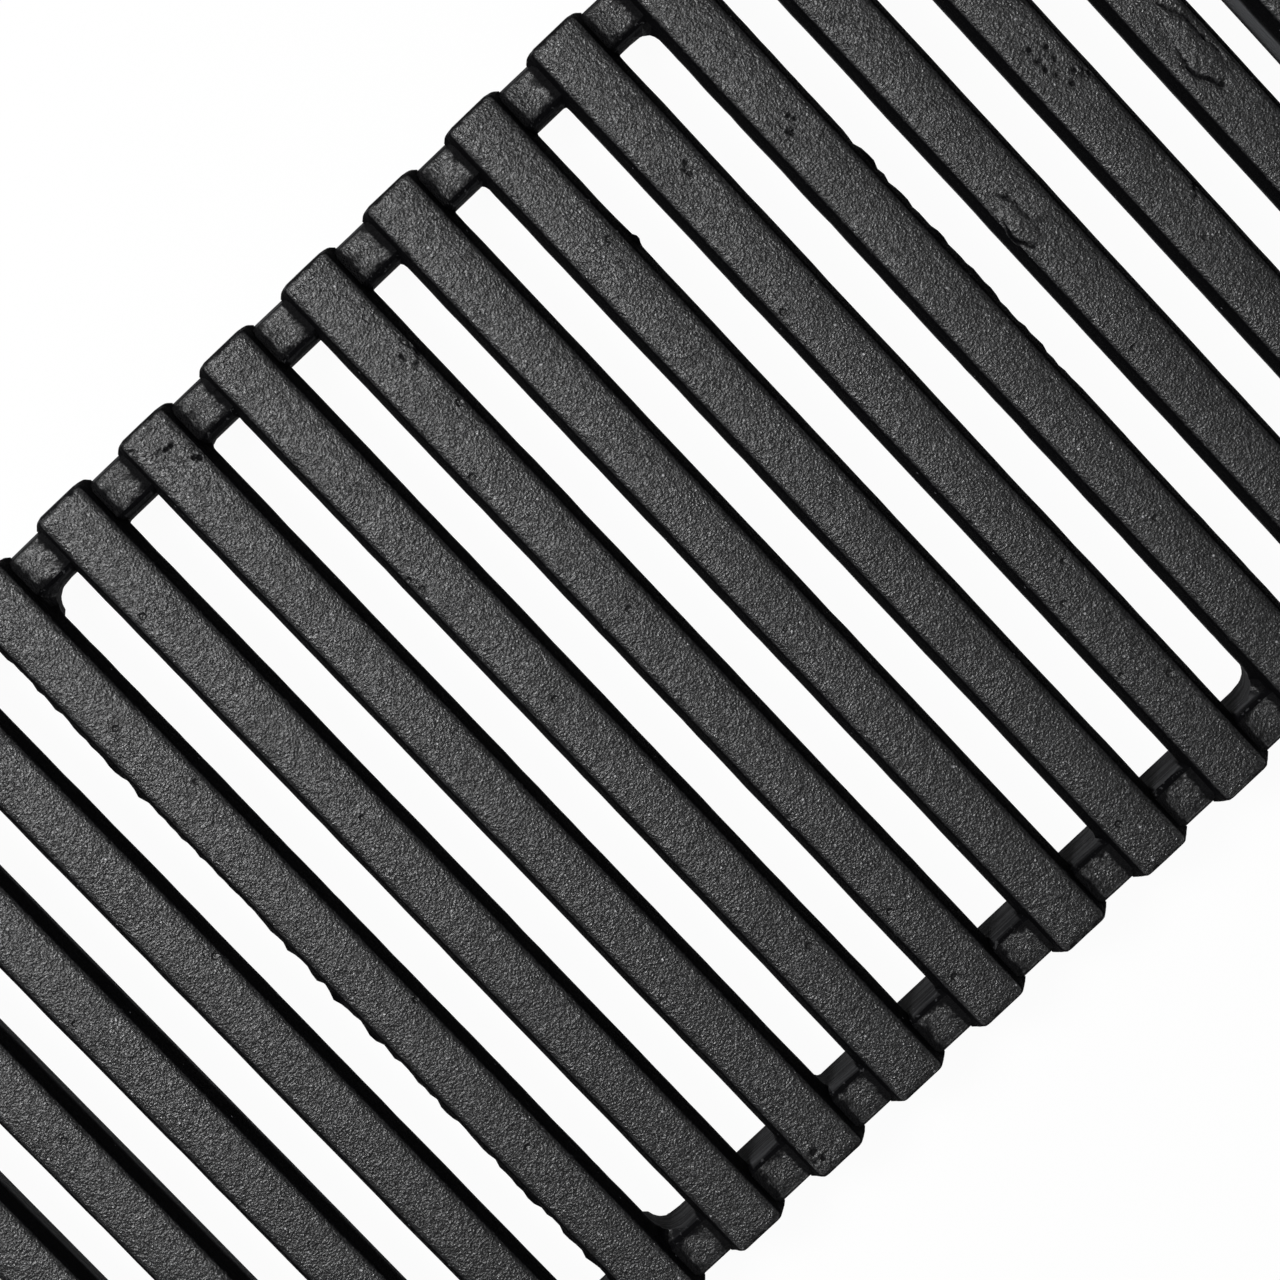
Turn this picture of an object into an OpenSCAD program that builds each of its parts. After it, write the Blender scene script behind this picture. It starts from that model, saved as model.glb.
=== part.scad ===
// Cast iron grate for a channel drain: parallel bars carried by two side rails, cast in one piece.
// X runs along the channel, Y across it and Z up. The underside of the rails is the seat, at z = 0.

/* [Grate] */
// Number of bars along the grate
bar_count = 40; // [5:1:61]
// Distance between the centres of two neighbouring bars
bar_pitch = 15; // [12:0.5:20]
// Width across the channel, from bar tip to bar tip
grate_w = 137.4; // [90:0.2:220]
// Height of the casting, from its seat to the walking surface
grate_h = 14.3; // [11:0.1:24]

/* [Bars] */
// Width of the walking surface of a bar, measured between its sharp edges
bar_top_w = 7.4; // [6:0.1:8.4]
// Width of a bar at the mould's parting line, where it is widest
bar_w = 9.7; // [8.5:0.1:10.5]
// Width of a bar at its foot
bar_foot_w = 5.4; // [4:0.1:7.5]
// Depth of the parting line below the walking surface
parting_drop = 3.7; // [3:0.1:5]
// Radius of the long edges of the walking surface
bar_edge_r = 1.2; // [0.5:0.1:1.6]
// Radius of the long edges of the foot
bar_foot_r = 1; // [0.5:0.1:1.8]
// Place of the two stiffening bars, counted from each end of the grate
stiff_place = 12; // [2:1:30]

/* [Bar tips] */
// Distance that the tips stand out past the rails
tip_reach = 1.3; // [0.9:0.05:1.6]
// Radius of the corners of a tip, seen from above
tip_corner_r = 1.6; // [1.3:0.1:2.4]
// Radius that blends a tip into the outer face of its rail
tip_blend_r = 1; // [0.5:0.1:1.2]
// Radius of the upper edge of a tip
tip_edge_r = 1.5; // [0.5:0.1:2.5]

/* [Rails] */
// Width of a rail
rail_w = 6.7; // [5:0.1:12]
// Depth of the top of the rails below the walking surface
rail_drop = 2.5; // [1.8:0.1:3.5]
// Radius of the upper edges of a rail
rail_edge_r = 1.2; // [0.4:0.1:1.6]
// Radius of the four inner corners of a slot
slot_corner_r = 1.5; // [0.5:0.1:2.2]
// Radius of the hollow between the top of a rail and the side of a bar
bar_root_r = 0.8; // [0.4:0.1:1.2]

/* [Hidden] */
$fn = 48;
iron = [0.20, 0.20, 0.21];

tip_y = grate_w / 2;
rail_outer_y = tip_y - tip_reach;
rail_inner_y = rail_outer_y - rail_w;
parting_z = grate_h - parting_drop;
rail_top_z = grate_h - rail_drop;
bars_span = (bar_count - 1) * bar_pitch;
bar_x = [for (i = [0 : bar_count - 1]) i * bar_pitch - bars_span / 2];
slot_w = bar_pitch - bar_w;
// Radius of a slot's corners, kept under half of the slot's width
corner_r = min(slot_corner_r, 0.45 * slot_w);
// Angles by which the sides of a bar lean in below and above the parting line
bar_taper = atan((bar_w - bar_foot_w) / 2 / parting_z);
bar_flare = atan((bar_w - bar_top_w) / 2 / parting_drop);
// Depth to which an added shape is sunk into the one that carries it
bond = 0.8;
// Distance by which a stiffening bar's flanks stand back from the parting line
stiff_inset = 0.05;
stiff_first = min(stiff_place, bar_count) - 1;
stiff_bars = [stiff_first, bar_count - 1 - stiff_first];
// Depth by which a hollow arc cuts past the face or arc that it blends into
arc_lap = 0.03;
// Height above the seat at which the hollow corners of a slot end
seat_relief = 0.2;

function unit(v) = v / norm(v);

// Half of the angle at the corner p between its neighbours a and b
function half_angle(a, p, b) = acos(unit(a - p) * unit(b - p)) / 2;

// Centre of an arc of radius r that touches both edges at the corner p
function arc_centre(a, p, b, r) =
    p + unit(unit(a - p) + unit(b - p)) * r / sin(half_angle(a, p, b));

// The two points where that arc touches the edges
function arc_ends(a, p, b, r) =
    let (reach = r / tan(half_angle(a, p, b)))
    [p + unit(a - p) * reach, p + unit(b - p) * reach];

// Closed outline with a radius at each corner, or 0 for a sharp one
module rounded_outline(points, radii) {
    n = len(points);
    polygon([
        for (i = [0 : n - 1])
            let (a = points[(i + n - 1) % n], p = points[i], b = points[(i + 1) % n])
            each radii[i] > 0 ? arc_ends(a, p, b, radii[i]) : [p]
    ]);
    for (i = [0 : n - 1])
        if (radii[i] > 0)
            translate(arc_centre(points[(i + n - 1) % n], points[i], points[(i + 1) % n], radii[i]))
                circle(r = radii[i]);
}

// Outline of a bar across its length: flared above the parting line, tapered below it
module bar_section() {
    rounded_outline(
        [
            [-bar_foot_w / 2, 0],
            [bar_foot_w / 2, 0],
            [bar_w / 2, parting_z],
            [bar_top_w / 2, grate_h],
            [-bar_top_w / 2, grate_h],
            [-bar_w / 2, parting_z]
        ],
        [bar_foot_r, bar_foot_r, 0, bar_edge_r, bar_edge_r, 0]
    );
}

// Side view of a bar along its length, with the upper edges of its tips rounded
module bar_profile() {
    rounded_outline(
        [[-tip_y, 0], [tip_y, 0], [tip_y, grate_h], [-tip_y, grate_h]],
        [0, 0, tip_edge_r, tip_edge_r]
    );
}

// Bar seen from above, with the corners of its tips rounded
module bar_plan() {
    rounded_outline(
        [[-bar_w / 2, -tip_y], [bar_w / 2, -tip_y], [bar_w / 2, tip_y], [-bar_w / 2, tip_y]],
        [for (i = [1 : 4]) tip_corner_r]
    );
}

// Section that runs across the whole width of the grate
module across() {
    rotate([90, 0, 0]) linear_extrude(grate_w, center = true) children();
}

// Bar with its tips carried straight down the outer faces of the rails
module bar() {
    intersection() {
        union() {
            across() bar_section();
            difference() {
                across() translate([-bar_w / 2, 0]) square([bar_w, parting_z]);
                cube([grate_w, 2 * (rail_outer_y - bond), grate_w], center = true);
            }
        }
        rotate([90, 0, 90]) linear_extrude(bar_w, center = true) bar_profile();
        linear_extrude(grate_h) bar_plan();
    }
}

// Hollow arc, seen from above, that runs from the corner of a tip into the face of the rail
module tip_blend() {
    corner = [bar_w / 2 - tip_corner_r, tip_y - tip_corner_r];
    rise = rail_outer_y + tip_blend_r - corner.y;
    run = sqrt(pow(tip_corner_r + tip_blend_r - arc_lap, 2) - rise * rise);
    hollow = corner + [run, rise];
    difference() {
        polygon([corner, hollow, [hollow.x, rail_outer_y - bond], [corner.x, rail_outer_y - bond]]);
        translate(hollow) circle(r = tip_blend_r);
    }
}

// Blends of every tip into its rail, without those past the ends of the grate
module tip_blends() {
    for (i = [0 : bar_count - 1], end = [0, 1])
        translate([bar_x[i], 0, 0]) mirror([0, end, 0])
            linear_extrude(parting_z) {
                if (i > 0) mirror([1, 0]) tip_blend();
                if (i < bar_count - 1) tip_blend();
            }
}

module rail() {
    rotate([90, 0, 90])
        linear_extrude(bars_span, center = true)
            rounded_outline(
                [
                    [rail_inner_y, 0],
                    [rail_outer_y, 0],
                    [rail_outer_y, rail_top_z],
                    [rail_inner_y, rail_top_z]
                ],
                [0, 0, rail_edge_r, rail_edge_r]
            );
}

// Hollow corner between the tapered side of a bar and the inner face of a rail
module slot_corner() {
    drop = (parting_z - corner_r * sin(bar_taper) - seat_relief) / cos(bar_taper);
    inset = corner_r - arc_lap;
    translate([bar_w / 2, rail_inner_y, parting_z])
        rotate([0, bar_taper, 0])
            translate([0, 0, -drop])
                linear_extrude(drop)
                    difference() {
                        translate([-bond, -inset]) square(inset + bond);
                        translate([inset, -inset]) circle(r = corner_r);
                    }
}

// Hollow along the foot of a bar's flared side, where it rises from the top of a rail.
// Its ends slope down to the rounded edges of the rail.
module bar_root() {
    foot = [bar_w / 2 - (rail_top_z - parting_z) * tan(bar_flare), rail_top_z];
    up = foot + [-sin(bar_flare), cos(bar_flare)];
    out = foot + [1, 0];
    ends = arc_ends(up, foot, out, bar_root_r);
    flat_y = [rail_inner_y + rail_edge_r, rail_outer_y - rail_edge_r];
    rise = ends[0].y - rail_top_z;
    intersection() {
        across()
            difference() {
                polygon([
                    ends[0], ends[0] - [bond, 0], foot - [bond, bond],
                    [ends[1].x, foot.y - bond], ends[1], arc_centre(up, foot, out, bar_root_r)
                ]);
                translate(arc_centre(up, foot, out, bar_root_r)) circle(r = bar_root_r + arc_lap);
            }
        rotate([90, 0, 90])
            linear_extrude(bar_w)
                polygon([
                    [flat_y[0] - bond, rail_top_z - bond],
                    [flat_y[1] + bond, rail_top_z - bond],
                    [flat_y[1] - rise, rail_top_z + rise],
                    [flat_y[0] + rise, rail_top_z + rise]
                ]);
    }
}

// The hollow shapes that join the sides of every bar to the rails within its slots
module slot_hollows() {
    for (i = [0 : bar_count - 2], end = [0, 1])
        mirror([0, end, 0]) {
            translate([bar_x[i], 0, 0]) {
                slot_corner();
                bar_root();
            }
            translate([bar_x[i + 1], 0, 0]) mirror([1, 0, 0]) {
                slot_corner();
                bar_root();
            }
        }
}

// Fills out a bar below the parting line, so that its flanks stand upright as the rails' walls do
module stiffener() {
    half = bar_w / 2 - stiff_inset;
    top = parting_z - stiff_inset;
    translate([-half, -rail_inner_y - bond, 0]) cube([2 * half, 2 * (rail_inner_y + bond), top]);
}

module grate() {
    color(iron) union() {
        for (x = bar_x) translate([x, 0, 0]) bar();
        for (i = stiff_bars) translate([bar_x[i], 0, 0]) stiffener();
        for (end = [0, 1]) mirror([0, end, 0]) rail();
        tip_blends();
        slot_hollows();
    }
}

grate();
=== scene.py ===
"""Channel drain grate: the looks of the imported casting, in metres, in the part's own frame."""

import logging
import math
import random
from dataclasses import dataclass
from enum import Enum
from typing import Callable

import bmesh
import bpy
import numpy as np
from mathutils import Matrix, Vector


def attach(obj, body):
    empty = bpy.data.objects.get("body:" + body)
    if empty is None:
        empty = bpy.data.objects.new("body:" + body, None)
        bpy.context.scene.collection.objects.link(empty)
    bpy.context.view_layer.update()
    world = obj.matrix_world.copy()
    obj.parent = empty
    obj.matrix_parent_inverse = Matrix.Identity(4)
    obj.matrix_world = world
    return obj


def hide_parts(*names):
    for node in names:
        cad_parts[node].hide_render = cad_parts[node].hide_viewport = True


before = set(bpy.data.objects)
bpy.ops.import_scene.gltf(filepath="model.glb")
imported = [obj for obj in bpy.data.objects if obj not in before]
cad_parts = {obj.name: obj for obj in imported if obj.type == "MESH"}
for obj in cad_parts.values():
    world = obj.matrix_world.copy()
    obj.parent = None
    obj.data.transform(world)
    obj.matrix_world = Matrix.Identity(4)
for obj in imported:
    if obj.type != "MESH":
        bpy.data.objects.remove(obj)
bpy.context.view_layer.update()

logging.basicConfig(level=logging.INFO, format="%(message)s")
log = logging.getLogger("grate")

MM = 0.001
# On a quarter round of radius one, the point this far in from its side ...
BEND_HALFWAY = 0.59
# ... lies this far below its top.
BEND_DROP = 0.09
# Points closer together than this are one.
WELD = 0.01 * MM


class Part(Enum):
    """What a pick in edit mode takes hold of."""

    POINTS = "VERT"
    EDGES = "EDGE"
    FACES = "FACE"


class Axis(Enum):
    """A direction to cut across."""

    X = 0
    Y = 1
    Z = 2

    def unit(self) -> Vector:
        """The axis as a unit vector."""
        return Vector(tuple(1.0 if i == self.value else 0.0 for i in range(3)))


def deselect() -> None:
    """Leaves nothing selected, so that a tool acts only on what is picked next."""
    for piece in list(bpy.context.selected_objects):
        piece.select_set(False)


def take(piece: bpy.types.Object) -> None:
    """Makes a piece the only selected and active one.

    Args:
        piece: the object to work on.
    """
    deselect()
    piece.select_set(True)
    bpy.context.view_layer.objects.active = piece


class Bench:
    """One mesh in edit mode, where tools act on what is picked by its place."""

    def __init__(self, piece: bpy.types.Object) -> None:
        """Takes a piece to work on.

        Args:
            piece: the mesh object to open.
        """
        self.piece = piece

    def __enter__(self) -> "Bench":
        """Opens the mesh in edit mode."""
        take(self.piece)
        bpy.ops.object.mode_set(mode="EDIT")
        return self

    def __exit__(self, *_: object) -> None:
        """Goes back to object mode."""
        bpy.ops.object.mode_set(mode="OBJECT")

    def pick(self, part: Part, test: Callable[..., bool]) -> None:
        """Selects what passes a test and nothing else.

        Args:
            part: points, edges or faces.
            test: takes a point's place, an edge's two ends, or a face's centre and normal.
        """
        bpy.ops.mesh.select_mode(type=part.value)
        mesh = bmesh.from_edit_mesh(self.piece.data)
        mesh.normal_update()
        for group in (mesh.verts, mesh.edges, mesh.faces):
            for item in group:
                item.select = False
        if part is Part.POINTS:
            chosen = [v for v in mesh.verts if test(v.co)]
        elif part is Part.EDGES:
            chosen = [e for e in mesh.edges if test(e.verts[0].co, e.verts[1].co)]
        else:
            chosen = [f for f in mesh.faces if test(f.calc_center_median(), f.normal)]
        for item in chosen:
            item.select_set(True)
        mesh.select_flush_mode()
        bmesh.update_edit_mesh(self.piece.data)

    def everything(self) -> None:
        """Selects the whole mesh."""
        bpy.ops.mesh.select_mode(type="VERT")
        bpy.ops.mesh.select_all(action="SELECT")

    def cut(self, axis: Axis, at: float) -> None:
        """Cuts what is selected by a plane across an axis.

        Args:
            axis: the plane's normal.
            at: the plane's place along it.
        """
        bpy.ops.mesh.bisect(plane_co=axis.unit() * at, plane_no=axis.unit())

    def cut_all(self, axis: Axis, places: list[float]) -> None:
        """Cuts the whole mesh by several planes.

        Args:
            axis: the planes' normal.
            places: where each plane stands.
        """
        for at in places:
            self.everything()
            self.cut(axis, at)

    def move(self, by: tuple[float, float, float]) -> None:
        """Moves what is selected.

        Args:
            by: the step.
        """
        bpy.ops.transform.translate(value=by)

    def scale(self, by: tuple[float, float, float], about: tuple[float, float, float]) -> None:
        """Scales what is selected about a point.

        Args:
            by: how many times as large along each axis.
            about: the point that stays where it is.
        """
        bpy.ops.transform.resize(value=by, center_override=about)

    def round_off(self, offset: float, segments: int) -> None:
        """Bevels the selected edges.

        Args:
            offset: how far from the edge the bevel starts.
            segments: how many faces it has.
        """
        bpy.ops.mesh.bevel(offset=offset, segments=segments, profile=0.5, affect="EDGES")


def near(a: float, b: float, gap: float = 0.02 * MM) -> bool:
    """Whether two lengths are the same within a small gap."""
    return abs(a - b) < gap


def places(piece: bpy.types.Object) -> np.ndarray:
    """The places of a piece's points, a row for each."""
    points = piece.data.vertices
    co = np.empty(len(points) * 3, np.float64)
    points.foreach_get("co", co)
    return co.reshape(-1, 3)


def set_places(piece: bpy.types.Object, co: np.ndarray) -> None:
    """Moves a piece's points.

    Args:
        piece: the mesh object.
        co: the new places, a row for each point.
    """
    piece.data.vertices.foreach_set("co", co.ravel())
    piece.data.update()


@dataclass(frozen=True)
class Scab:
    """A blister of the skin on top of a bar, with a broken crack round it."""

    x: float
    y: float
    half_x: float
    half_y: float
    rise: float
    crack: float
    crack_at: float = 1.05
    crack_width: float = 0.09
    lump: float = 0.35
    lump_x: float = 0.24 * MM
    lump_y: float = 0.27 * MM

    def carve(self, co: np.ndarray) -> np.ndarray:
        """How far each point rises.

        Args:
            co: the points' places.

        Returns:
            A height for each point.
        """
        dx, dy = (co[:, 0] - self.x) / self.half_x, (co[:, 1] - self.y) / self.half_y
        turn = np.arctan2(dy, dx)
        off = np.hypot(dx, dy) * (1 + 0.13 * np.sin(3 * turn + 1) + 0.07 * np.sin(7 * turn))
        lumps = self.lump * np.sin(co[:, 1] / self.lump_y) * np.sin(co[:, 0] / self.lump_x + 1)
        swell = self.rise * (1 + lumps) * np.sqrt(np.clip(1 - off, 0, 1))
        broken = np.clip(0.6 + 0.8 * np.sin(2 * turn + 0.4), 0, 1)
        groove = np.exp(-(((off - self.crack_at) / self.crack_width) ** 2))
        return swell - self.crack * broken * groove


@dataclass(frozen=True)
class Pits:
    """A cluster of small gas pits on top of a bar."""

    x: float
    y: float
    half_x: float
    half_y: float
    count: int
    radius: float = 0.38 * MM
    depth: float = 0.3 * MM
    lip: float = 0.04 * MM
    lip_at: float = 1.5
    lip_width: float = 0.35

    def carve(self, co: np.ndarray) -> np.ndarray:
        """How far each point rises, or sinks where the number is below nought.

        Args:
            co: the points' places.

        Returns:
            A height for each point.
        """
        dice = random.Random(round(self.x / MM * 10))
        height = np.zeros(len(co))
        for _ in range(self.count):
            x = self.x + dice.uniform(-1, 1) * self.half_x
            y = self.y + dice.uniform(-1, 1) * self.half_y
            size = self.radius * dice.uniform(0.7, 1.25)
            off = np.hypot(co[:, 0] - x, co[:, 1] - y) / size
            lip = self.lip * np.exp(-(((off - self.lip_at) / self.lip_width) ** 2))
            height -= self.depth * np.exp(-(off**4)) - lip
        return height


@dataclass
class Casting:
    """The whole grate, one casting: flared bars, two sunk side rails and the slots between."""

    bars: int = 40
    pitch: float = 15.0 * MM
    height: float = 14.3 * MM
    top_half: float = 3.7 * MM
    wide_half: float = 4.85 * MM
    foot_half: float = 2.7 * MM
    parting: float = 10.6 * MM
    rail_top: float = 11.8 * MM
    rail_inner: float = 60.7 * MM
    rail_outer: float = 67.72 * MM
    tip: float = 68.7 * MM
    rail_round: float = 1.2 * MM
    top_round: float = 0.88 * MM
    foot_round: float = 0.8 * MM
    upright_draft: float = 0.05 * MM
    flank_lines: tuple[float, ...] = (4.0 * MM, 7.6 * MM)
    corner_lines: tuple[float, ...] = (2.4 * MM, 1.3 * MM, 0.5 * MM)
    rail_lines: tuple[float, ...] = (2.3 * MM, 3.4 * MM, 4.6 * MM)
    columns: tuple[float, ...] = (0.15 * MM, 0.55 * MM, 1.25 * MM)
    root_rise: float = 0.6 * MM
    root_shares: tuple[float, ...] = (0.38, 0.12)
    root_out: float = 0.18 * MM
    stations: int = 36
    fine_stations: int = 104
    frayed: tuple[tuple[int, int, float, float], ...] = (
        (16, -1, -62 * MM, 60 * MM),
        (24, 1, -14 * MM, 34 * MM),
    )
    stiff: tuple[int, ...] = (11, 28)
    # Faces that face up more than this take the top finish; the rest take the finish with painted
    # shade and painted reflection.
    top_finish_above: float = 0.62
    seed: int = 11
    slot_corners: tuple[tuple[float, ...], ...] = (
        (3.2, 0.3, 3.0, 0.1),
        (0.15, 0.1, 0.1, 0.1),
        (1.1, 0.4, 1.2, 0.1),
        (0.1, 0.1, 0.1, 0.4),
        (0.5, 1.2, 0.6, 0.2),
        (0.7, 1.4, 0.1, 1.0),
        (0.7, 0.9, 0.1, 0.1),
        (0.7, 2.8, 0.1, 3.3),
    )
    first_measured_slot: int = 16
    corner_odds: tuple[float, ...] = (0.1, 0.1, 0.1, 0.3, 0.5, 0.6, 0.8, 1.1, 1.4, 2.8)
    least_corner: float = 0.15 * MM
    tip_slack: tuple[float, float] = (-0.15, 0.1)
    marks: tuple[Scab | Pits, ...] = (
        Scab(80.7 * MM, 8.0 * MM, 1.6 * MM, 4.1 * MM, 0.24 * MM, 0.32 * MM),
        Scab(113.3 * MM, 8.7 * MM, 1.9 * MM, 6.2 * MM, 0.3 * MM, 0.36 * MM),
        Pits(98.7 * MM, 20.4 * MM, 2.2 * MM, 4.6 * MM, 12),
        Pits(101.0 * MM, -5.3 * MM, 0.9 * MM, 1.4 * MM, 3),
        Pits(67.8 * MM, 37.8 * MM, 1.2 * MM, 1.5 * MM, 4),
        Pits(52.7 * MM, 43.0 * MM, 1.2 * MM, 1.2 * MM, 3),
        Pits(10.0 * MM, 51.6 * MM, 1.4 * MM, 2.6 * MM, 8, 0.36 * MM, 0.2 * MM),
        Pits(-21.7 * MM, 64.0 * MM, 0.6 * MM, 0.5 * MM, 2),
        Pits(-19.9 * MM, 60.7 * MM, 0.7 * MM, 0.7 * MM, 2),
        Pits(-25.2 * MM, -65.4 * MM, 1.8 * MM, 0.9 * MM, 6, 0.5 * MM, 0.12 * MM),
    )
    nub: tuple[float, float] = (42.2 * MM, 41.3 * MM)
    nub_size: float = 0.75 * MM
    nub_reach: float = 0.55 * MM
    swells: tuple[tuple[str, float, float, str], ...] = (
        ("swell", 16 * MM, 0.12 * MM, "above_seat"),
        ("ripple", 4.2 * MM, 0.08 * MM, "above_seat"),
        ("burr", 2.6 * MM, 0.12 * MM, "parting_line"),
        ("torn", 2.4 * MM, 1.5 * MM, "torn_edge"),
        ("crinkle", 0.9 * MM, 0.5 * MM, "rim"),
    )

    def from_bar(self, x: float | np.ndarray) -> float | np.ndarray:
        """How far along X a place is from the middle of its bar."""
        return (x + self.pitch * self.bars / 2) % self.pitch - self.pitch / 2

    def half_at(self, z: float, foot: float) -> float:
        """Half the bar's width at a height, before any rounding.

        Args:
            z: the height.
            foot: half the width of the bar's foot.

        Returns:
            Half the width.
        """
        if z > self.parting:
            run = (self.height - z) / (self.height - self.parting)
            return self.top_half + (self.wide_half - self.top_half) * run
        return foot + (self.wide_half - foot) * z / self.parting

    def bar(self, sides: tuple[int, ...], foot: float, stations: int) -> bpy.types.Object:
        """Models one bar with its stubs of rail.

        Args:
            sides: the sides, 1 and -1 along X, on which rails leave the bar.
            foot: half the width of its foot.
            stations: how many stretches its length is cut into.

        Returns:
            The bar, centred on x = 0, open where its rails meet the next bar's.
        """
        deselect()
        size = (2 * self.top_half, 2 * self.tip, self.height)
        bpy.ops.mesh.primitive_cube_add(size=1, location=(0, 0, self.height / 2))
        piece = bpy.context.object
        piece.scale = size
        bpy.ops.object.transform_apply(location=True, rotation=True, scale=True)
        with Bench(piece) as bench:
            self.section(bench, foot)
            self.ends(bench)
            self.rails(bench, sides, foot)
            self.lines(bench, stations)
            bench.everything()
            bpy.ops.mesh.normals_make_consistent(inside=False)
        return piece

    def section(self, bench: Bench, foot: float) -> None:
        """Flares the block to the parting line, tapers it to the foot and rounds its edges.

        Args:
            bench: the open block.
            foot: half the width of its foot.
        """
        bench.cut_all(Axis.Z, [self.parting])
        bench.pick(Part.POINTS, lambda p: near(p.z, self.parting))
        bench.scale((self.wide_half / self.top_half, 1, 1), (0, 0, self.parting))
        bench.pick(Part.POINTS, lambda p: near(p.z, 0))
        bench.scale((foot / self.top_half, 1, 1), (0, 0, 0))
        bench.cut_all(Axis.Z, [*self.flank_lines, self.rail_top])
        bench.pick(Part.EDGES, lambda a, b: self.along(a, b) and near(a.z, self.height))
        bench.round_off(self.top_round, 3)
        bench.pick(Part.EDGES, lambda a, b: self.along(a, b) and near(a.z, 0))
        bench.round_off(self.foot_round, 2)

    @staticmethod
    def along(a: Vector, b: Vector) -> bool:
        """Whether an edge runs along the bar."""
        return near(a.x, b.x) and near(a.z, b.z) and abs(a.y - b.y) > 1 * MM

    def ends(self, bench: Bench) -> None:
        """Rounds each end of the bar all round."""
        reach = self.tip - self.rail_outer
        bench.pick(Part.EDGES, lambda a, b: near(abs(a.y), self.tip) and near(a.y, b.y))
        bench.round_off(reach, 3)

    def rails(self, bench: Bench, sides: tuple[int, ...], foot: float) -> None:
        """Draws the rails out of the bar's sides, with rounded tops and blended roots.

        Args:
            bench: the open bar.
            sides: the sides, 1 and -1 along X, on which rails leave the bar.
            foot: half the width of its foot.
        """
        bend = self.rail_round
        halfway = BEND_HALFWAY * bend
        stops = [
            *(self.rail_inner - line for line in self.corner_lines),
            self.rail_inner,
            self.rail_inner + halfway,
            self.rail_inner + bend,
            *(self.rail_inner + line for line in self.rail_lines),
            self.rail_outer - bend,
            self.rail_outer - halfway,
        ]
        bench.cut_all(Axis.Y, [s * way for s in stops for way in (1, -1)])
        slip = bend * (1 - math.sqrt(0.5))

        def on_top(p: Vector, y: float) -> bool:
            over_rail = any(p.x * side > 0 for side in sides)
            return near(p.y, y) and near(p.z, self.rail_top) and over_rail

        for way in (-1, 1):
            for place, into in ((self.rail_inner, 1), (self.rail_outer, -1)):
                bench.pick(Part.POINTS, lambda p: on_top(p, way * place))
                bench.move((0, way * into * slip, -slip))
            for place in (self.rail_inner + halfway, self.rail_outer - halfway):
                bench.pick(Part.POINTS, lambda p: on_top(p, way * place))
                bench.move((0, 0, -BEND_DROP * bend))
        middle = self.pitch / 2
        for side in sides:
            bench.pick(
                Part.FACES,
                lambda c, n: self.rail_inner < abs(c.y) < self.rail_outer
                and c.z < self.rail_top
                and c.x * side > 0
                and abs(n.x) > 0.1
                and n.x * side > 0,
            )
            for column in self.columns:
                bpy.ops.mesh.extrude_region_move(
                    TRANSFORM_OT_translate={"value": (side * 0.1 * MM, 0, 0)}
                )
                bench.scale((0, 1, 1), (side * (self.wide_half + column), 0, 0))
            bench.scale((0, 1, 1), (side * middle, 0, 0))
            bpy.ops.mesh.delete(type="FACE")
            self.blend_roots(bench, side, foot)

    def blend_roots(self, bench: Bench, side: int, foot: float) -> None:
        """Fills the hollow where a rail's top and its outer face meet the bar's side.

        Args:
            bench: the open bar.
            side: the side of the bar, 1 or -1 along X.
            foot: half the width of its foot.
        """
        out = self.root_out
        up = self.rail_top + self.root_rise
        inset = 1 * MM

        def on_side(p: Vector) -> bool:
            return near(p.x * side, self.half_at(p.z, foot), 0.06 * MM)

        def on_top(p: Vector) -> bool:
            between = self.rail_inner + inset < way * p.y < self.rail_outer - inset
            return near(p.z, self.rail_top) and between

        for way in (-1, 1):
            bench.pick(Part.POINTS, lambda p: on_side(p) and on_top(p))
            slide = self.half_at(up, foot) - self.half_at(self.rail_top, foot)
            bench.move((side * slide, 0, self.root_rise))
            for column, share in zip(self.columns, self.root_shares):
                at = self.wide_half + column
                bench.pick(Part.POINTS, lambda p: near(p.x * side, at) and on_top(p))
                bench.move((0, 0, share * self.root_rise))
            bench.pick(
                Part.POINTS,
                lambda p: on_side(p) and near(way * p.y, self.rail_outer) and p.z < 11 * MM,
            )
            bench.move((side * out, way * out, 0))

    def lines(self, bench: Bench, stations: int) -> None:
        """Adds the lines across and along the bar that its uneven surface needs.

        Args:
            bench: the open bar.
            stations: how many stretches its length is cut into.
        """
        stop = self.rail_inner - max(self.corner_lines)
        slack = 1 * MM
        bench.pick(
            Part.EDGES,
            lambda a, b: abs(a.y - b.y) > 2 * stop - slack
            and max(abs(a.y), abs(b.y)) < stop + slack,
        )
        bpy.ops.mesh.subdivide(number_cuts=stations - 1)
        bench.pick(
            Part.FACES,
            lambda c, n: n.z > 0.5 and c.z > self.rail_top + slack or abs(n.y) > 0.99,
        )
        bench.cut(Axis.X, 0.0)

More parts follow.
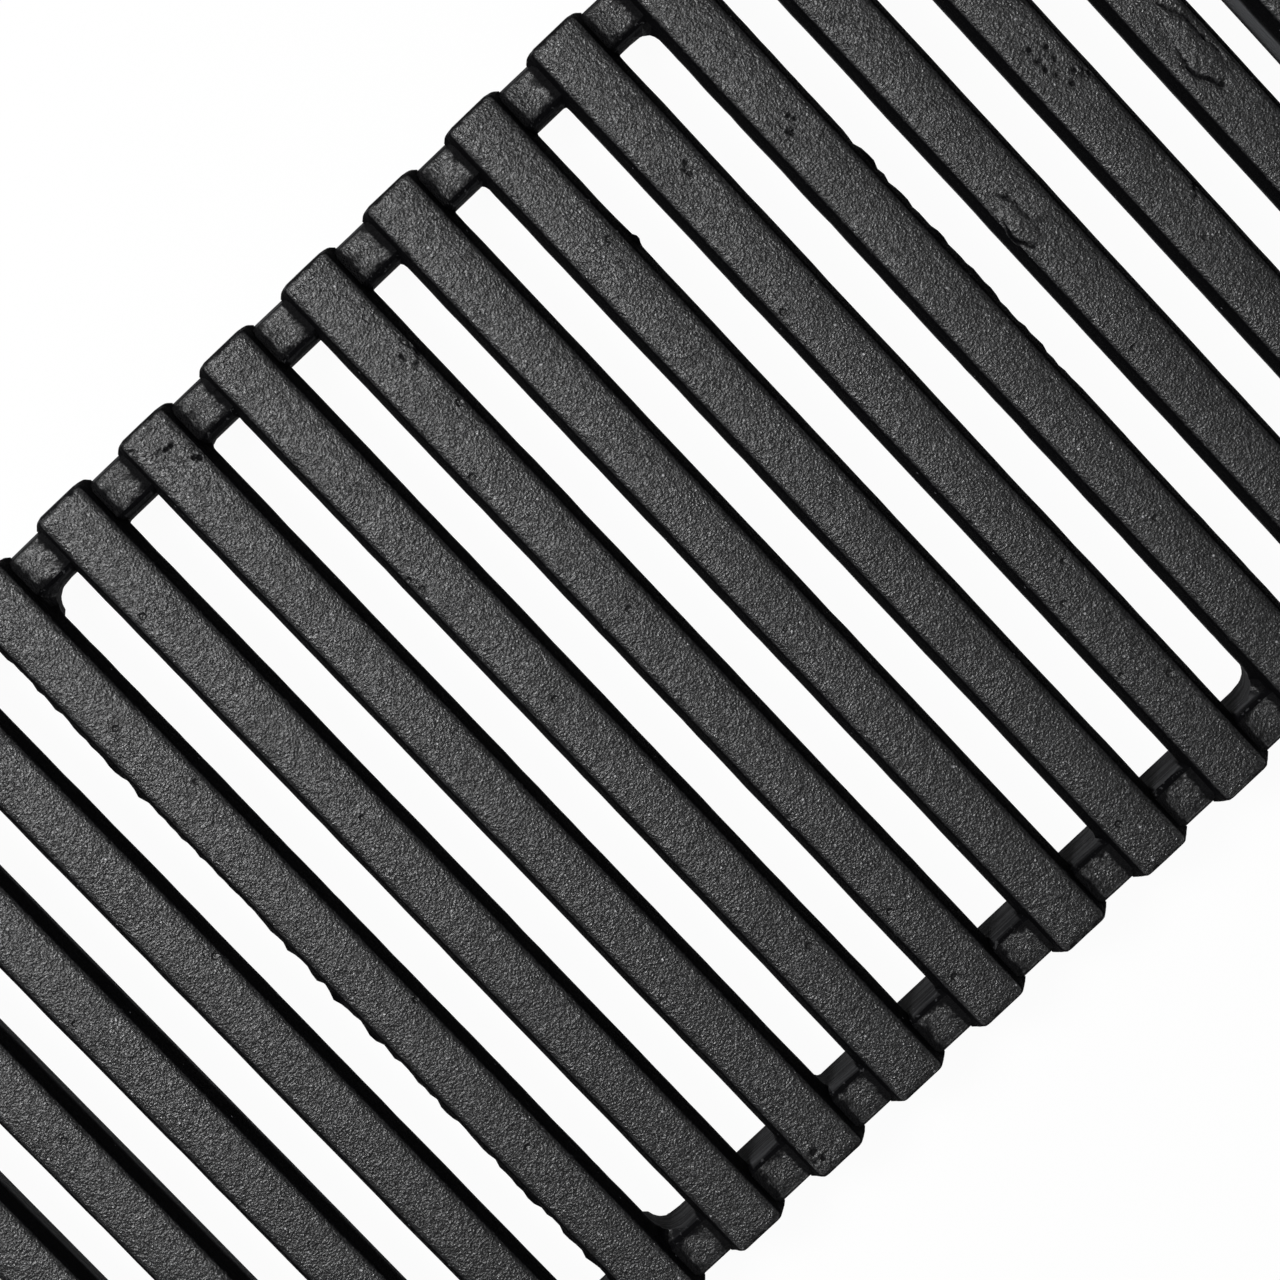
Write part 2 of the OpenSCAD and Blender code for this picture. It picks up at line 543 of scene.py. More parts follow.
    def cast(self) -> bpy.types.Object:
        """Copies the bar along the grate and joins all into one closed casting.

        Returns:
            The casting.
        """
        dice = random.Random(self.seed)
        upright = self.wide_half - self.upright_draft
        masters: dict[tuple, bpy.types.Object] = {}
        last = self.bars - 1
        rough_bars = {bar for bar, *_ in self.frayed}
        copies = []
        for i in range(self.bars):
            sides = (1,) if i == 0 else (-1,) if i == last else (-1, 1)
            stations = self.fine_stations if i in rough_bars else self.stations
            kind = (sides, upright if i in self.stiff else self.foot_half, stations)
            if kind not in masters:
                masters[kind] = self.bar(*kind)
            copy = masters[kind].copy()
            copy.data = masters[kind].data.copy()
            bpy.context.scene.collection.objects.link(copy)
            self.uneven(copy, i, kind[1], dice)
            copy.data.transform(Matrix.Translation(((i - last / 2) * self.pitch, 0, 0)))
            copies.append(copy)
        for master in masters.values():
            bpy.data.objects.remove(master)
        deselect()
        for copy in copies:
            copy.select_set(True)
        bpy.context.view_layer.objects.active = copies[0]
        bpy.ops.object.join()
        piece = bpy.context.object
        piece.name = "grate_casting"
        with Bench(piece) as bench:
            bench.everything()
            bpy.ops.mesh.remove_doubles(threshold=WELD)
            bench.everything()
            bpy.ops.mesh.normals_make_consistent(inside=False)
        return piece

    def corner(self, bar: int, side: int, way: int, dice: random.Random) -> float:
        """The radius of a slot's corner.

        Args:
            bar: the bar's number.
            side: which side of the bar the slot is on.
            way: which end of the slot.
            dice: the seeded source of chance, for slots that weren't measured.

        Returns:
            The radius in metres.
        """
        chance = dice.choice(self.corner_odds)
        slot = (bar if side > 0 else bar - 1) - self.first_measured_slot
        if 0 <= slot < len(self.slot_corners):
            which = (0 if way > 0 else 2) + (0 if side > 0 else 1)
            return self.slot_corners[slot][which] * MM
        return chance * MM

    def uneven(self, piece: bpy.types.Object, bar: int, foot: float, dice: random.Random) -> None:
        """Gives one bar its own slot corners and tips, as a sand mould does.

        Args:
            piece: a copy of the bar, still centred on x = 0.
            bar: its number.
            foot: half the width of its foot.
            dice: the seeded source of chance.
        """
        co = places(piece)
        halves = np.array([self.half_at(z, foot) for z in co[:, 2]])
        low = np.clip((self.rail_top - co[:, 2]) / self.rail_round, 0, 1)
        x, y = co[:, 0].copy(), co[:, 1].copy()
        slip = 1 - math.sqrt(0.5)
        widest = self.pitch / 2 - self.wide_half - 0.1 * MM
        close = 0.05 * MM
        for side in (-1, 1):
            for way in (-1, 1):
                radius = self.corner(bar, side, way, dice)
                if radius < self.least_corner:
                    continue
                below = co[:, 2] < self.parting
                web = np.where(below, (self.wide_half + halves) / 2, halves)
                off_bar = side * x - web
                off_rail = self.rail_inner - way * y
                on_bar = (np.abs(side * x - halves) < close) & (off_rail > -WELD)
                on_bar &= off_rail < radius
                on_rail = (np.abs(off_rail) < close) & (off_bar > 0.1 * MM)
                on_rail &= off_bar < min(radius, widest)
                for chosen, along in ((on_bar, off_rail), (on_rail, off_bar)):
                    run = radius * slip + along[chosen].clip(0) * (1 - slip)
                    step = radius - np.sqrt(np.maximum(0, radius**2 - (radius - run) ** 2))
                    across, down = (step, run) if along is off_rail else (run, step)
                    share = low[chosen]
                    goal_x = side * (web[chosen] + across)
                    goal_y = way * (self.rail_inner - down)
                    co[chosen, 0] += (goal_x - co[chosen, 0]) * share
                    co[chosen, 1] += (goal_y - co[chosen, 1]) * share
        for way in (-1, 1):
            reach = dice.uniform(*self.tip_slack) * MM
            past_rail = way * co[:, 1] - self.rail_outer
            share = np.clip(past_rail / (self.tip - self.rail_outer), 0, 1)
            co[:, 1] += way * reach * share
        set_places(piece, co)

    def roughen(self, piece: bpy.types.Object) -> None:
        """Swells and ripples the casting with displacement, and frays its parting line."""
        co = places(piece)
        cell = self.from_bar(co[:, 0])
        free = np.clip(co[:, 2] / (2 * MM), 0, 1)
        self.weigh(piece, "above_seat", free)
        line = np.exp(-(((co[:, 2] - self.parting) / (0.5 * MM)) ** 2))
        line *= np.abs(cell) > self.wide_half - 0.3 * MM
        line *= np.abs(co[:, 1]) < self.rail_inner - 1 * MM
        self.weigh(piece, "parting_line", line)
        number = np.floor((co[:, 0] + self.pitch * self.bars / 2) / self.pitch).astype(int)
        torn = np.zeros(len(co))
        for bar, side, low, high in self.frayed:
            ends = np.clip(np.minimum(co[:, 1] - low, high - co[:, 1]) / (4 * MM), 0, 1)
            torn += line * (number == bar) * (cell * side > 0) * ends
        self.weigh(piece, "torn_edge", torn)
        inset = np.abs(co[:, 1]) - self.rail_inner
        rim = (inset > 0.1 * MM) & (inset < 1.1 * MM)
        rim &= (np.abs(cell) > self.wide_half + 0.3 * MM) & (co[:, 2] > 11 * MM)
        self.weigh(piece, "rim", rim.astype(float))
        for swell in self.swells:
            self.displace(piece, *swell)

    def shade_nooks(self, piece: bpy.types.Object) -> None:
        """Stores, as a point attribute that both finishes read, how much painted shade each point
        gets: beside the bars on the rail tops, on the rails' rounded inner rims, at the bar ends
        and in the scab cracks and pits.
        """
        co = places(piece)
        cell = np.abs(self.from_bar(co[:, 0]))
        # Painted shade beside each bar, where the rail top meets its side.
        beside = np.clip(1 - (cell - self.wide_half - 0.1 * MM) / (0.8 * MM), 0, 1)
        beside *= np.clip((13.2 * MM - co[:, 2]) / (0.6 * MM), 0, 1)
        beside *= np.abs(co[:, 1]) > self.rail_inner - 2.5 * MM
        # Painted shade on the rounded inner rim of each rail.
        inset = np.abs(co[:, 1]) - self.rail_inner
        rim = np.clip(1 - (inset - self.rail_round) / (0.7 * MM), 0, 1) * (inset > -0.1 * MM)
        rim *= co[:, 2] < self.rail_top + 0.4 * MM
        # Painted shade on the rounded ends of the bars.
        end = 0.75 * np.clip((np.abs(co[:, 1]) - self.tip + 1.0 * MM) / (0.7 * MM), 0, 1)
        # Painted shade in the scab cracks and the pits.
        sunk = np.zeros(len(co))
        for mark in self.marks:
            sunk = np.maximum(sunk, np.clip(-mark.carve(co) / (0.22 * MM), 0, 0.75))
        depths = np.maximum.reduce((beside, 0.7 * rim, end, sunk))
        painted_shade = piece.data.attributes.new("painted_shade", "FLOAT", "POINT")
        painted_shade.data.foreach_set("value", depths.astype(np.float32))

    def scar(self, piece: bpy.types.Object) -> None:
        """Carves the scabs and pits into the bars' tops, and adds a nub on one bar's side."""
        margin = 1.6 * MM
        for mark in self.marks:
            with Bench(piece) as bench:
                bench.pick(
                    Part.FACES,
                    lambda c, n: n.z > 0.5
                    and abs(c.x - mark.x) < mark.half_x + margin
                    and abs(c.y - mark.y) < mark.half_y + margin,
                )
                bpy.ops.mesh.subdivide(number_cuts=9)
        at_x, at_y = self.nub
        with Bench(piece) as bench:
            bench.pick(
                Part.FACES,
                lambda c, n: abs(c.x - at_x) < 1 * MM
                and abs(c.y - at_y) < 1.5 * MM
                and 7 * MM < c.z < 13 * MM,
            )
            bpy.ops.mesh.subdivide(number_cuts=5)
        co = places(piece)
        upper = np.clip((co[:, 2] - self.rail_top) / (1.5 * MM), 0, 1)
        for mark in self.marks:
            co[:, 2] += mark.carve(co) * upper
        place = np.array((at_x, at_y, self.parting))
        off = np.sum(((co - place) / self.nub_size) ** 2, axis=1)
        co[:, 0] += self.nub_reach * np.exp(-off)
        set_places(piece, co)

    def finish_faces(self, piece: bpy.types.Object) -> None:
        """Gives the faces that face up one finish and the rest the other, whose colour carries
        painted shade and painted reflection.
        """
        top_finish, flank = TopIron().make(), FlankIron().make()
        piece.data.materials.clear()
        piece.data.materials.append(top_finish)
        piece.data.materials.append(flank)
        rim_top = self.rail_top + 0.2 * MM
        for face in piece.data.polygons:
            c = face.center
            # The rounded inner rims of the rails take the other finish, as painted shade.
            on_rim = 0 < abs(c.y) - self.rail_inner < self.rail_round and c.z < rim_top
            off_bar = abs(self.from_bar(c.x)) > self.top_half
            gets_top_finish = face.normal.z > self.top_finish_above and not (on_rim and off_bar)
            face.material_index = 0 if gets_top_finish else 1

    @staticmethod
    def weigh(piece: bpy.types.Object, name: str, weights: np.ndarray) -> None:
        """Stores a weight for each point in a vertex group, in tenths.

        Args:
            piece: the casting.
            name: the group's name.
            weights: from nought to one for each point.
        """
        group = piece.vertex_groups.new(name=name)
        for level in range(1, 11):
            at = np.nonzero(np.round(weights * 10).astype(int) == level)[0]
            if len(at):
                group.add([int(i) for i in at], level / 10, "REPLACE")

    @staticmethod
    def displace(
        piece: bpy.types.Object, name: str, size: float, strength: float, group: str
    ) -> None:
        """Pushes the surface in and out by a cloudy pattern and applies it.

        Args:
            piece: the casting.
            name: the pattern's name.
            size: how far apart its swells are.
            strength: from its lowest to its highest point.
            group: the vertex group that limits it.
        """
        pattern = bpy.data.textures.new(name, "CLOUDS")
        pattern.noise_scale = size
        pattern.noise_depth = 2
        take(piece)
        modifier = piece.modifiers.new(name, "DISPLACE")
        modifier.texture = pattern
        modifier.texture_coords = "LOCAL"
        modifier.strength = strength
        modifier.mid_level = 0.5
        modifier.vertex_group = group
        bpy.ops.object.modifier_apply(modifier=name)

    def build(self) -> bpy.types.Object:
        """Makes the casting and hands it over smooth-shaded, on its body.

        Returns:
            The finished casting.
        """
        piece = self.cast()
        self.roughen(piece)
        self.scar(piece)
        self.shade_nooks(piece)
        self.finish_faces(piece)
        take(piece)
        bpy.ops.object.shade_smooth_by_angle(angle=math.radians(40))
        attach(piece, "root")
        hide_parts("grate")
        log.info("%s: %d faces", piece.name, len(piece.data.polygons))
        return piece


class Nodes:
    """Short calls for building one node tree."""

    def __init__(self, tree: bpy.types.NodeTree) -> None:
        """Takes a tree to build in.

        Args:
            tree: the node tree.
        """
        self.tree = tree

    def add(self, kind: str, **values: object) -> bpy.types.Node:
        """Adds a node and sets its properties."""
        node = self.tree.nodes.new(kind)
        for name, value in values.items():
            setattr(node, name, value)
        return node

    def link(self, source: object, target: object) -> None:
        """Joins an output to an input."""
        self.tree.links.new(source, target)

    def put(self, target: object, value: object) -> None:
        """Feeds an input from an output, or sets it to a number or colour."""
        if isinstance(value, bpy.types.NodeSocket):
            self.link(value, target)
        else:
            target.default_value = value

    def math(self, operation: str, *values: object) -> bpy.types.NodeSocket:
        """A Math node's output."""
        node = self.add("ShaderNodeMath", operation=operation)
        for socket, value in zip(node.inputs, values):
            self.put(socket, value)
        return node.outputs[0]

    def span(
        self, value: object, low: float, high: float, to_low: float = 0.0, to_high: float = 1.0
    ) -> bpy.types.NodeSocket:
        """Maps a value smoothly from one span to another and clamps it.

        Args:
            value: what is mapped.
            low: the value that gives to_low.
            high: the value that gives to_high.
            to_low: the result at low.
            to_high: the result at high.

        Returns:
            The result.
        """
        node = self.add("ShaderNodeMapRange", interpolation_type="SMOOTHSTEP")
        names = ("Value", "From Min", "From Max", "To Min", "To Max")
        for name, number in zip(names, (value, low, high, to_low, to_high)):
            self.put(node.inputs[name], number)
        return node.outputs["Result"]

    def noise(
        self, where: object, scale: object, detail: float, rough: float
    ) -> bpy.types.NodeSocket:
        """A noise texture's value.

        Args:
            where: the place.
            scale: how many swells there are in a metre.
            detail: how many finer layers it has.
            rough: how strong they are.

        Returns:
            The value, about a half in the middle.
        """
        node = self.add("ShaderNodeTexNoise")
        names = ("Vector", "Scale", "Detail", "Roughness")
        for name, value in zip(names, (where, scale, detail, rough)):
            self.put(node.inputs[name], value)
        return node.outputs["Fac"]

    def cells(self, where: object, scale: object) -> bpy.types.Node:
        """A Voronoi texture whose Distance is from the nearest cell's point.

        Args:
            where: the place.
            scale: how many cells there are in a metre.

        Returns:
            The texture's node.
        """
        node = self.add("ShaderNodeTexVoronoi", feature="F1")
        self.put(node.inputs["Vector"], where)
        self.put(node.inputs["Scale"], scale)
        return node

    def relief(self, height: object, depth: float) -> bpy.types.NodeSocket:
        """A bumped normal.

        Args:
            height: the height, from nought to one.
            depth: how deep one is, in metres.

        Returns:
            The normal.
        """
        node = self.add("ShaderNodeBump")
        for name, value in (("Strength", 1.0), ("Distance", depth), ("Height", height)):
            self.put(node.inputs[name], value)
        return node.outputs[0]

    def weighed(self, *parts: tuple[object, float]) -> bpy.types.NodeSocket:
        """A sum of values, each times its weight."""
        total = None
        for value, weight in parts:
            share = self.math("MULTIPLY", value, weight)
            total = share if total is None else self.math("ADD", total, share)
        return total

    def blend(self, share: object, a: object, b: object) -> bpy.types.NodeSocket:
        """A mix of two colours.

        Args:
            share: how much of b there is.
            a: a colour.
            b: a colour.

        Returns:
            The mixed colour.
        """
        node = self.add("ShaderNodeMix", data_type="RGBA")
        self.put(node.inputs[0], share)
        self.put(node.inputs[6], a)
        self.put(node.inputs[7], b)
        return node.outputs[2]


def sand_group() -> bpy.types.NodeTree:
    """The surface that moulding sand leaves: grain, tone, pits and creases, and bright specks that
    are partly bare metal and partly painted glints.

    Returns:
        The node group.
    """
    tree = bpy.data.node_groups.new("sand_cast_surface", "ShaderNodeTree")
    face = tree.interface
    for name, value in (("Grain", 1500.0), ("Specks", 0.5), ("Pits", 0.5)):
        socket = face.new_socket(name, in_out="INPUT", socket_type="NodeSocketFloat")
        socket.default_value = value
    outputs = ("Height", "Tone", "Speck", "Pit", "Crease")
    for name in outputs:
        face.new_socket(name, in_out="OUTPUT", socket_type="NodeSocketFloat")
    nodes = Nodes(tree)
    given = nodes.add("NodeGroupInput")
    result = nodes.add("NodeGroupOutput")
    where = nodes.add("ShaderNodeTexCoord").outputs["Object"]
    fine = nodes.noise(where, given.outputs["Grain"], 2.0, 0.6)
    lumps = nodes.noise(where, nodes.math("MULTIPLY", given.outputs["Grain"], 0.27), 3.0, 0.6)
    pebbles = nodes.cells(where, nodes.math("MULTIPLY", given.outputs["Grain"], 0.62))
    round_tops = nodes.span(pebbles.outputs["Distance"], 0.0, 0.75, 1.0, 0.0)
    slow = nodes.noise(where, 90.0, 3.0, 0.5)
    grain = nodes.weighed((fine, 0.3), (lumps, 0.55), (round_tops, 0.16))
    cells = nodes.cells(where, 560.0)
    chance = nodes.add("ShaderNodeSeparateColor")
    nodes.link(cells.outputs["Color"], chance.inputs[0])
    spot = nodes.span(cells.outputs["Distance"], 0.06, 0.12, 1.0, 0.0)
    rare = nodes.math("LESS_THAN", chance.outputs[0], given.outputs["Specks"])
    speck = nodes.math("MULTIPLY", spot, rare)
    holes = nodes.cells(where, 480.0)
    odds = nodes.add("ShaderNodeSeparateColor")
    nodes.link(holes.outputs["Color"], odds.inputs[0])
    hole = nodes.span(holes.outputs["Distance"], 0.12, 0.3, 1.0, 0.0)
    found = nodes.math("LESS_THAN", odds.outputs[1], given.outputs["Pits"])
    pit = nodes.math("MULTIPLY", hole, found)
    bend = nodes.noise(where, 620.0, 2.0, 0.6)
    seam = nodes.math("ABSOLUTE", nodes.math("SUBTRACT", bend, 0.5))
    crease = nodes.span(seam, 0.0, 0.022, 1.0, 0.0)
    crease = nodes.math("MULTIPLY", crease, nodes.span(slow, 0.45, 0.62))
    height = nodes.math("SUBTRACT", grain, nodes.math("MULTIPLY", pit, 0.6))
    height = nodes.math("SUBTRACT", height, nodes.math("MULTIPLY", crease, 0.12))
    dust = nodes.noise(where, nodes.math("MULTIPLY", given.outputs["Grain"], 0.85), 1.0, 0.5)
    tone = nodes.weighed((slow, 0.1), (fine, 0.3), (lumps, 0.25), (dust, 0.35))
    for name, value in zip(outputs, (height, tone, speck, pit, crease)):
        nodes.link(value, result.inputs[name])
    return tree


def sand(nodes: Nodes, grain: float, specks: float, pits: float) -> bpy.types.Node:
    """Puts the sand-cast surface into a finish; its group is built once and shared.

    Args:
        nodes: the finish's nodes.
        grain: how many grains there are in a metre.
        specks: the share of cells with a bright speck.
        pits: the share of cells with a pit.

    Returns:
        The group's node.
    """
    tree = bpy.data.node_groups.get("sand_cast_surface") or sand_group()
    node = nodes.add("ShaderNodeGroup", node_tree=tree)
    for name, value in (("Grain", grain), ("Specks", specks), ("Pits", pits)):
        node.inputs[name].default_value = value
    return node


@dataclass(frozen=True)
class TopIron:
    """Sand-cast iron under a thin black coating, with a dull sheen where it faces up; faces turned
    away from up, creases, pits and the stored shade get painted shade, and its bright specks are
    partly bare metal and partly painted glints.
    """

    # The black below is painted shade.
    black: tuple[float, float, float] = (0.003, 0.003, 0.0035)
    dark: tuple[float, float, float] = (0.0025, 0.0026, 0.003)
    light: tuple[float, float, float] = (0.018, 0.0186, 0.0204)
    # The brightest colour: partly bare metal, partly painted glints.
    bare_and_glint: tuple[float, float, float] = (0.35, 0.35, 0.36)
    specular: float = 0.82
    grain: float = 4000.0
    grain_depth: float = 0.36 * MM
    specks: float = 0.16
    pits: float = 0.03
    shine: float = 0.3
    dull: float = 0.45
    nook_roughness: float = 0.85
    nook_gloss: float = 0.15

    def make(self) -> bpy.types.Material:
        """Builds the material.

        Returns:
            The material, which reads Object coordinates.
        """
        material = bpy.data.materials.new("top_iron")
        material.use_nodes = True
        nodes = Nodes(material.node_tree)
        shader = material.node_tree.nodes["Principled BSDF"]
        surface = sand(nodes, self.grain, self.specks, self.pits).outputs
        place = nodes.add("ShaderNodeTexCoord")
        split = nodes.add("ShaderNodeSeparateXYZ")
        nodes.link(place.outputs["Normal"], split.inputs[0])
        painted_shade = nodes.add("ShaderNodeAttribute", attribute_name="painted_shade").outputs["Fac"]
        # Painted shade stored on the points, broken up by a little noise.
        stray = nodes.noise(place.outputs["Object"], 700.0, 3.0, 0.6)
        depth = nodes.math("ADD", painted_shade, nodes.span(stray, 0.35, 0.65, -0.22, 0.22))
        open_face = nodes.span(depth, 0.85, 0.15)
        # Faces turned away from up are painted black below, as painted shade, and lose most of
        # their gloss.
        upward = nodes.math("MULTIPLY", nodes.span(split.outputs[2], 0.6, 0.86), open_face)
        share = nodes.span(surface["Tone"], 0.45, 0.62)
        coat_and_painted_light = nodes.blend(share, (*self.dark, 1), (*self.light, 1))
        # Painted shade in the creases and the pits.
        coat_and_painted_light = nodes.blend(surface["Crease"], coat_and_painted_light, (*self.black, 1))
        coat_and_painted_light = nodes.blend(surface["Pit"], coat_and_painted_light, (*self.black, 1))
        # Bright specks: partly bare metal, partly painted glints.
        coat_and_painted_light = nodes.blend(surface["Speck"], coat_and_painted_light, (*self.bare_and_glint, 1))
        coat_and_painted_light = nodes.blend(upward, (*self.black, 1), coat_and_painted_light)
        nodes.link(coat_and_painted_light, shader.inputs["Base Color"])
        sheen = nodes.span(surface["Tone"], 0.38, 0.62, self.dull, self.shine)
        rough = nodes.add("ShaderNodeMix")
        nodes.link(upward, rough.inputs[0])
        rough.inputs[2].default_value = self.nook_roughness
        nodes.link(sheen, rough.inputs[3])
        nodes.link(rough.outputs[0], shader.inputs["Roughness"])
        glint = nodes.span(surface["Tone"], 0.41, 0.6, 0.68, 1.32)
        # The gloss drops with the painted shade too, so that it stays dark.
        gloss = nodes.span(upward, 0.0, 1.0, self.nook_gloss, 1.0)
        gloss = nodes.math("MULTIPLY", nodes.math("MULTIPLY", gloss, self.specular), glint)
        nodes.link(gloss, shader.inputs["Specular IOR Level"])
        nodes.link(nodes.relief(surface["Height"], self.grain_depth), shader.inputs["Normal"])
        return material


@dataclass(frozen=True)
class FlankIron:
    """The same coating on the faces that don't face up: dull, with painted shade as black on the
    flares, crowns and beside the bars, and a painted reflection of the pale floor as gray on
    upright walls.
    """

    # The black below is painted shade, and the two grays are a painted reflection of the pale
    # floor on upright walls.
    black: tuple[float, float, float] = (0.003, 0.003, 0.0035)
    wall: tuple[float, float, float] = (0.05, 0.0505, 0.053)
    upright: tuple[float, float, float] = (0.13, 0.133, 0.14)
    # The bright speck colour: partly bare metal, partly painted glints.
    bare_and_glint: tuple[float, float, float] = (0.12, 0.12, 0.13)
    specular: float = 0.02
    roughness: float = 0.8
    grain: float = 2100.0
    grain_depth: float = 0.35 * MM
    specks: float = 0.15
    pits: float = 0.02

    def make(self) -> bpy.types.Material:
        """Builds the material.

        Returns:
            The material, which reads Object coordinates.
        """
        material = bpy.data.materials.new("flank_iron")
        material.use_nodes = True
        nodes = Nodes(material.node_tree)
        shader = material.node_tree.nodes["Principled BSDF"]
        surface = sand(nodes, self.grain, self.specks, self.pits).outputs
        place = nodes.add("ShaderNodeTexCoord")
        split = nodes.add("ShaderNodeSeparateXYZ")
        nodes.link(place.outputs["Normal"], split.inputs[0])
        stretch = nodes.add("ShaderNodeMapping")
        nodes.link(place.outputs["Object"], stretch.inputs["Vector"])
        stretch.inputs["Scale"].default_value = (0.12, 0.12, 2.2)
        drag = nodes.noise(stretch.outputs[0], 900.0, 2.0, 0.6)
        dragged = nodes.span(drag, 0.36, 0.62, 0.35, 1.0)
        # Painted reflection: upright walls go gray, with dark streaks down them.
        wall = nodes.blend(dragged, (*self.black, 1), (*self.wall, 1))
        up = split.outputs[2]
        level = nodes.math("ABSOLUTE", up)
        endwise = nodes.math("ABSOLUTE", split.outputs[1])
        sidewise = nodes.span(endwise, 0.5, 0.2)
        sheer = nodes.math("MULTIPLY", nodes.span(level, 0.13, 0.06), sidewise)
        wall = nodes.blend(sheer, wall, (*self.upright, 1))
        not_end = nodes.span(endwise, 0.75, 0.5)
        # Painted shade: the flares, the crowns and the nooks beside the bars go black.
        flare = nodes.math("MULTIPLY", nodes.span(up, 0.06, 0.2), not_end)
        painted_shade = nodes.add("ShaderNodeAttribute", attribute_name="painted_shade").outputs["Fac"]
        deep = nodes.span(painted_shade, 0.72, 0.95)
        beside = nodes.math("MULTIPLY", deep, nodes.span(up, -0.05, 0.1))
        crown = nodes.span(up, 0.5, 0.75, 0.0, 0.75)
        dark = nodes.math("MAXIMUM", nodes.math("MAXIMUM", flare, crown), beside)
        coat_and_painted_light = nodes.blend(dark, wall, (*self.black, 1))
        spots = nodes.noise(place.outputs["Object"], 1500.0, 2.0, 0.6)
        fleck = nodes.span(spots, 0.6, 0.7)
        coat_and_painted_light = nodes.blend(nodes.math("MULTIPLY", fleck, crown), coat_and_painted_light, (*self.wall, 1))
        # Bright specks: partly bare metal, partly painted glints.
        coat_and_painted_light = nodes.blend(surface["Speck"], coat_and_painted_light, (*self.bare_and_glint, 1))
        nodes.link(coat_and_painted_light, shader.inputs["Base Color"])
        shader.inputs["Roughness"].default_value = self.roughness
        shader.inputs["Specular IOR Level"].default_value = self.specular
        height = nodes.math("ADD", surface["Height"], nodes.math("MULTIPLY", drag, 0.5))
        nodes.link(nodes.relief(height, self.grain_depth), shader.inputs["Normal"])
        return material


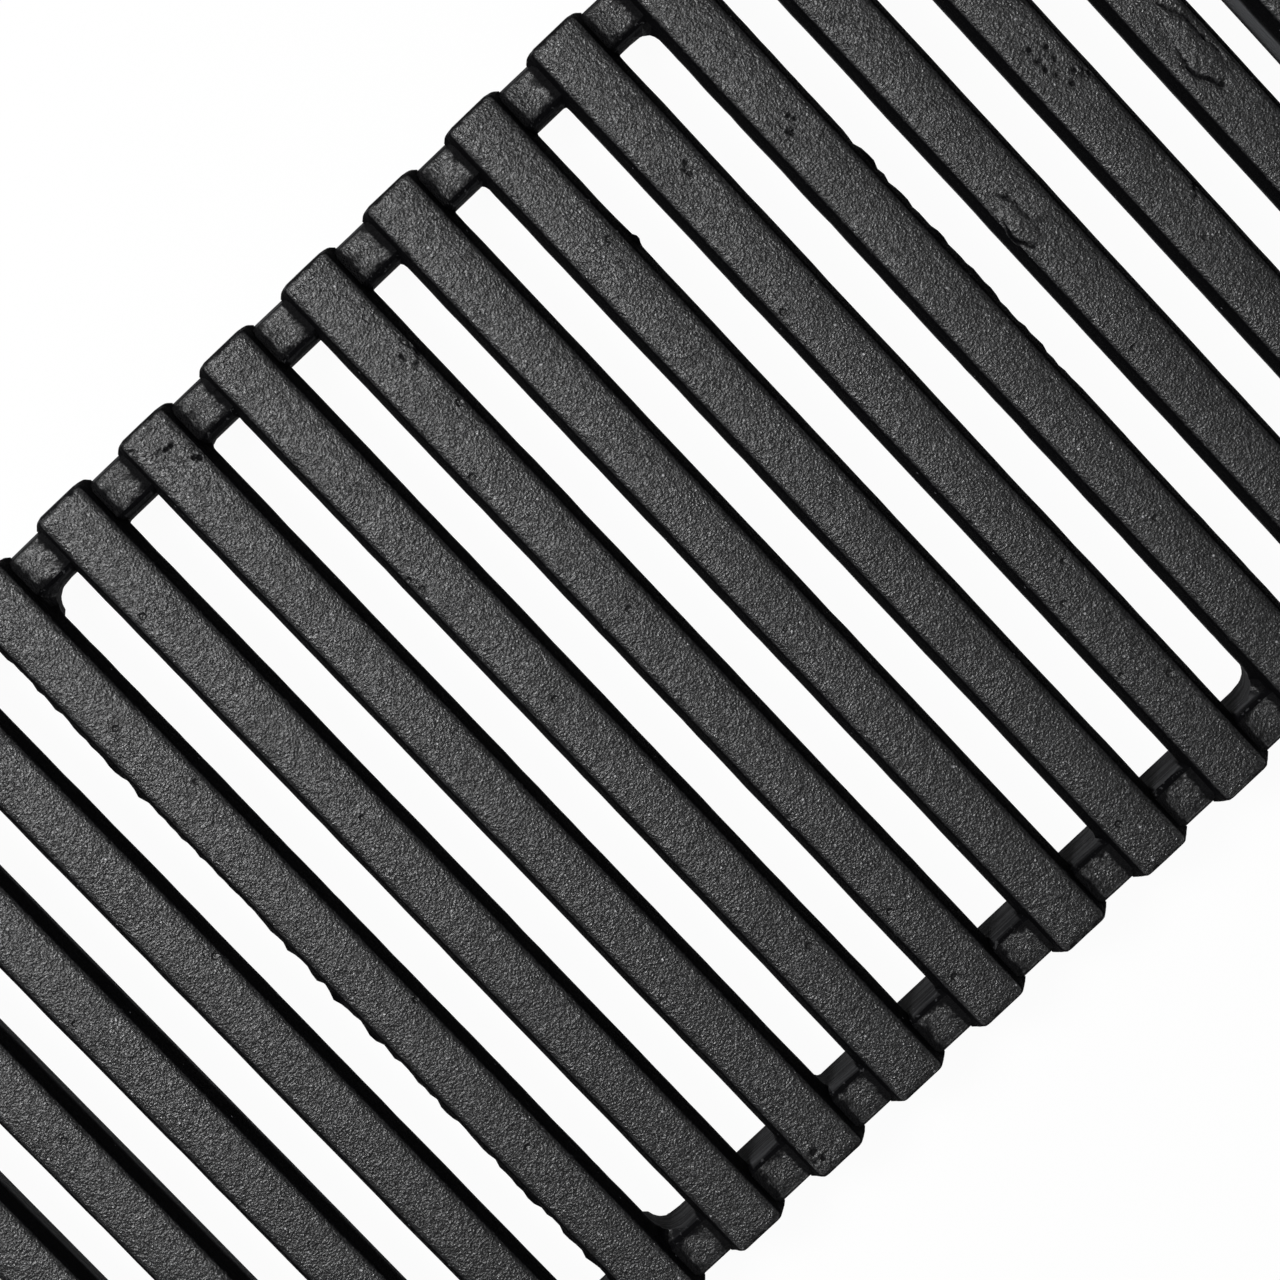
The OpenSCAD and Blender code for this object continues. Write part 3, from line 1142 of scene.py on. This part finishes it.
@dataclass
class Studio:
    """The floor, the lamps, the world and the camera."""

    floor_z: float = -0.3 * MM
    floor_size: float = 6.0
    white_share: float = 0.96
    horizon: float = 0.12
    zenith: float = 0.11
    place: tuple[float, float, float] = (26.7 * MM, 43.985 * MM, 479.608 * MM)
    aim: tuple[float, float, float] = (6.143 * MM, 2.199 * MM, 14.3 * MM)
    picture_top: tuple[float, float, float] = (0.686027, 0.727577, 0.0)
    lens: float = 98.438
    sensor: float = 36.0
    bounce: float = 0.5
    lit: float = 0.9
    key: tuple[tuple[float, float, float], float, float] = ((-0.2, 0.3, 0.6), 0.25, 4.5)
    fill: tuple[tuple[float, float, float], float, float] = ((0.3, 0.1, 1.2), 0.9, 1.2)

    @staticmethod
    def seen(nodes: Nodes) -> bpy.types.NodeSocket:
        """Whether a ray shows the floor, straight, mirrored or through glass.

        Args:
            nodes: the floor material's nodes.

        Returns:
            One for such a ray, or nought for light that the floor bounces.
        """
        path = nodes.add("ShaderNodeLightPath")
        glossy, through = path.outputs["Is Glossy Ray"], path.outputs["Is Transmission Ray"]
        mirrored = nodes.math("MAXIMUM", glossy, through)
        return nodes.math("MAXIMUM", path.outputs["Is Camera Ray"], mirrored)

    def floor(self) -> None:
        """A plain white floor that keeps a faint shadow."""
        deselect()
        bpy.ops.mesh.primitive_plane_add(size=self.floor_size, location=(0, 0, self.floor_z))
        floor = bpy.context.object
        floor.name = "floor"
        material = bpy.data.materials.new("floor_white")
        material.use_nodes = True
        tree = material.node_tree
        tree.nodes.clear()
        nodes = Nodes(tree)
        plain = nodes.add("ShaderNodeBsdfDiffuse")
        plain.inputs["Color"].default_value = (*[self.bounce] * 3, 1)
        lit = nodes.add("ShaderNodeBsdfDiffuse")
        lit.inputs["Color"].default_value = (*[self.lit] * 3, 1)
        glow = nodes.add("ShaderNodeEmission")
        white = nodes.add("ShaderNodeMixShader")
        white.inputs[0].default_value = self.white_share
        nodes.link(lit.outputs[0], white.inputs[1])
        nodes.link(glow.outputs[0], white.inputs[2])
        both = nodes.add("ShaderNodeMixShader")
        nodes.link(self.seen(nodes), both.inputs[0])
        nodes.link(plain.outputs[0], both.inputs[1])
        nodes.link(white.outputs[0], both.inputs[2])
        out = nodes.add("ShaderNodeOutputMaterial")
        nodes.link(both.outputs[0], out.inputs[0])
        floor.data.materials.append(material)

    def world(self) -> None:
        """A pale surround, a little brighter at the horizon than overhead."""
        world = bpy.data.worlds.new("surround")
        bpy.context.scene.world = world
        world.use_nodes = True
        tree = world.node_tree
        tree.nodes.clear()
        nodes = Nodes(tree)
        split = nodes.add("ShaderNodeSeparateXYZ")
        nodes.link(nodes.add("ShaderNodeTexCoord").outputs["Generated"], split.inputs[0])
        sky = nodes.add("ShaderNodeBackground")
        strength = nodes.span(split.outputs[2], 0.1, 0.95, self.horizon, self.zenith)
        nodes.link(strength, sky.inputs["Strength"])
        sky.inputs["Color"].default_value = (1, 1, 1, 1)
        out = nodes.add("ShaderNodeOutputWorld")
        nodes.link(sky.outputs[0], out.inputs[0])

    @staticmethod
    def lamp(name: str, place: tuple[float, float, float], size: float, power: float) -> None:
        """Adds a soft square lamp that faces the middle of the grate.

        Args:
            name: the lamp's name.
            place: where it stands.
            size: its side.
            power: in watts.
        """
        data = bpy.data.lights.new(name, "AREA")
        data.shape = "SQUARE"
        data.size = size
        data.energy = power
        lamp = bpy.data.objects.new(name, data)
        lamp.location = place
        lamp.rotation_mode = "QUATERNION"
        lamp.rotation_quaternion = (-Vector(place)).to_track_quat("-Z", "Y")
        bpy.context.scene.collection.objects.link(lamp)

    def lamps(self) -> None:
        """One big soft lamp from the picture's upper left, and a weak one across from it."""
        self.lamp("key", *self.key)
        self.lamp("fill", *self.fill)

    def camera(self) -> None:
        """The photograph's camera: nearly overhead, turned so that the grate runs aslant."""
        data = bpy.data.cameras.new("camera")
        data.lens = self.lens
        data.sensor_width = self.sensor
        data.clip_start, data.clip_end = 0.01, 20.0
        camera = bpy.data.objects.new("camera", data)
        back = (Vector(self.place) - Vector(self.aim)).normalized()
        right = Vector(self.picture_top).cross(back).normalized()
        up = back.cross(right)
        turn = Matrix((right, up, back)).transposed()
        camera.location = self.place
        camera.rotation_mode = "QUATERNION"
        camera.rotation_quaternion = turn.to_quaternion()
        bpy.context.scene.collection.objects.link(camera)
        bpy.context.scene.camera = camera

    def build(self) -> None:
        """Sets up the whole studio."""
        bpy.context.scene.view_settings.view_transform = "Standard"
        self.floor()
        self.world()
        self.lamps()
        self.camera()


def main() -> None:
    """Builds the casting, its finish and the studio."""
    Studio().build()
    casting = Casting().build()
    log.info("%s wears %s", casting.name, ", ".join(m.name for m in casting.data.materials))


if __name__ == "__main__":
    main()
